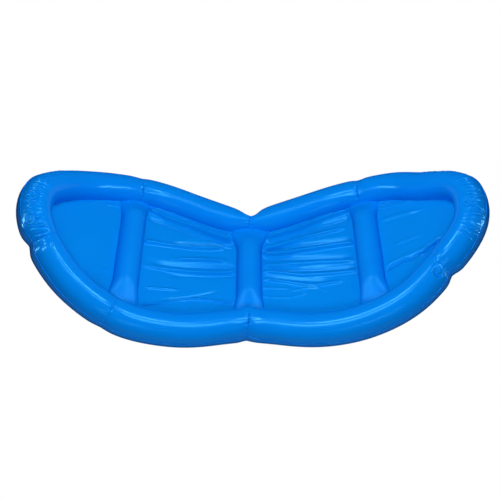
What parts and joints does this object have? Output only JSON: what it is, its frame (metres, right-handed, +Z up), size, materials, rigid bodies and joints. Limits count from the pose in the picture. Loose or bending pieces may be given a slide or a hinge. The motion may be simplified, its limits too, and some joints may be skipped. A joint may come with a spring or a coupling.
{
  "type": "inflatable pool chair",
  "caption": "Inflatable pool chair of glossy blue vinyl: a ring tube pinched at a waist, its ends curling up, with cross tubes, floor sheets and push-in valves.",
  "frame": {"origin": "middle of the footprint, on the floor", "axes": "+X along the chair from the left lobe to the right lobe, +Y across it towards the far side of the picture, +Z up"},
  "size_m": [1.665, 0.7872, 0.4818],
  "materials": {
    "tube_vinyl": "glossy welded PVC film",
    "sheet_vinyl": "glossy PVC film",
    "baffle_vinyl": "PVC film",
    "valve_vinyl": "moulded soft PVC"
  },
  "bodies": {
    "left_lobe": {"far_left_tube": "tube_vinyl", "left_end_tube": "tube_vinyl", "left_corner_tube": "tube_vinyl", "near_left_tube": "tube_vinyl", "far_left_baffle": "baffle_vinyl", "left_end_baffle": "baffle_vinyl", "left_corner_baffle": "baffle_vinyl", "far_waist_baffle": "baffle_vinyl", "near_waist_baffle": "baffle_vinyl", "left_weld_rim": "tube_vinyl", "left_cross_tube": "tube_vinyl", "centre_cross_tube": "tube_vinyl", "left_inner_sheet": "sheet_vinyl", "left_outer_sheet": "sheet_vinyl", "left_tip_valve_flange": "valve_vinyl", "left_side_valve_flange": "valve_vinyl"},
    "right_lobe": {"far_right_tube": "tube_vinyl", "right_end_tube": "tube_vinyl", "near_right_tube": "tube_vinyl", "far_right_baffle": "baffle_vinyl", "right_end_baffle": "baffle_vinyl", "right_weld_rim": "tube_vinyl", "right_cross_tube": "tube_vinyl", "right_inner_sheet": "sheet_vinyl", "right_outer_sheet": "sheet_vinyl", "right_tip_valve_flange": "valve_vinyl", "right_side_valve_flange": "valve_vinyl"},
    "left_tip_valve_neck": {"left_tip_valve_neck": "valve_vinyl"},
    "left_tip_valve_plug": {"left_tip_valve_plug": "valve_vinyl"},
    "left_tip_valve_flap": {"left_tip_valve_check_flap": "valve_vinyl"},
    "left_side_valve_neck": {"left_side_valve_neck": "valve_vinyl"},
    "left_side_valve_plug": {"left_side_valve_plug": "valve_vinyl"},
    "left_side_valve_flap": {"left_side_valve_check_flap": "valve_vinyl"},
    "right_tip_valve_neck": {"right_tip_valve_neck": "valve_vinyl"},
    "right_tip_valve_plug": {"right_tip_valve_plug": "valve_vinyl"},
    "right_tip_valve_flap": {"right_tip_valve_check_flap": "valve_vinyl"},
    "right_side_valve_neck": {"right_side_valve_neck": "valve_vinyl"},
    "right_side_valve_plug": {"right_side_valve_plug": "valve_vinyl"},
    "right_side_valve_flap": {"right_side_valve_check_flap": "valve_vinyl"}
  },
  "joints": [
    {"name": "waist_fold", "type": "hinge", "parent": "left_lobe", "child": "right_lobe", "pos_m": [-0.01291, -0.00556, 0.11944], "axis": [0, -1, 0], "range_deg": [0, 35]},
    {"name": "left_tip_valve_push", "type": "slide", "parent": "left_lobe", "child": "left_tip_valve_neck", "axis": [0.143, -0.066, 0.9875], "range_m": [0, 0.012]},
    {"name": "left_tip_valve_plug_tether", "type": "hinge", "parent": "left_tip_valve_neck", "child": "left_tip_valve_plug", "pos_m": [-0.761, -0.03349, 0.47962], "axis": [0.9882, 0.064, -0.1388], "range_deg": [0, 150]},
    {"name": "left_tip_valve_flap_hinge", "type": "hinge", "parent": "left_tip_valve_neck", "child": "left_tip_valve_flap", "pos_m": [-0.76378, -0.02949, 0.46165], "axis": [-0.9882, -0.064, 0.1388], "range_deg": [0, 40], "stiffness_Nm_per_rad": 0.000002, "springref_deg": -11.46},
    {"name": "left_side_valve_push", "type": "slide", "parent": "left_lobe", "child": "left_side_valve_neck", "axis": [-0.0695, -0.4584, 0.886], "range_m": [0, 0.012]},
    {"name": "left_side_valve_plug_tether", "type": "hinge", "parent": "left_side_valve_neck", "child": "left_side_valve_plug", "pos_m": [-0.75852, -0.12676, 0.45181], "axis": [0.9459, 0.2519, 0.2046], "range_deg": [0, 150]},
    {"name": "left_side_valve_flap_hinge", "type": "hinge", "parent": "left_side_valve_neck", "child": "left_side_valve_flap", "pos_m": [-0.75812, -0.11594, 0.43667], "axis": [-0.9459, -0.2519, -0.2046], "range_deg": [0, 40], "stiffness_Nm_per_rad": 0.000002, "springref_deg": -11.46},
    {"name": "right_tip_valve_push", "type": "slide", "parent": "right_lobe", "child": "right_tip_valve_neck", "axis": [-0.4048, -0.0776, 0.9111], "range_m": [0, 0.012]},
    {"name": "right_tip_valve_plug_tether", "type": "hinge", "parent": "right_tip_valve_neck", "child": "right_tip_valve_plug", "pos_m": [0.74201, -0.05617, 0.47135], "axis": [0.9047, -0.1788, 0.3867], "range_deg": [0, 150]},
    {"name": "right_tip_valve_flap_hinge", "type": "hinge", "parent": "right_tip_valve_neck", "child": "right_tip_valve_flap", "pos_m": [0.74983, -0.05199, 0.45498], "axis": [-0.9047, 0.1788, -0.3867], "range_deg": [0, 40], "stiffness_Nm_per_rad": 0.000002, "springref_deg": -11.46},
    {"name": "right_side_valve_push", "type": "slide", "parent": "right_lobe", "child": "right_side_valve_neck", "axis": [-0.0352, -0.6382, 0.769], "range_m": [0, 0.012]},
    {"name": "right_side_valve_plug_tether", "type": "hinge", "parent": "right_side_valve_neck", "child": "right_side_valve_plug", "pos_m": [0.631, -0.25872, 0.33528], "axis": [0.7629, -0.5143, -0.3918], "range_deg": [0, 150]},
    {"name": "right_side_valve_flap_hinge", "type": "hinge", "parent": "right_side_valve_neck", "child": "right_side_valve_flap", "pos_m": [0.63346, -0.24537, 0.32254], "axis": [-0.7629, 0.5143, 0.3918], "range_deg": [0, 40], "stiffness_Nm_per_rad": 0.000002, "springref_deg": -11.46}
  ]
}
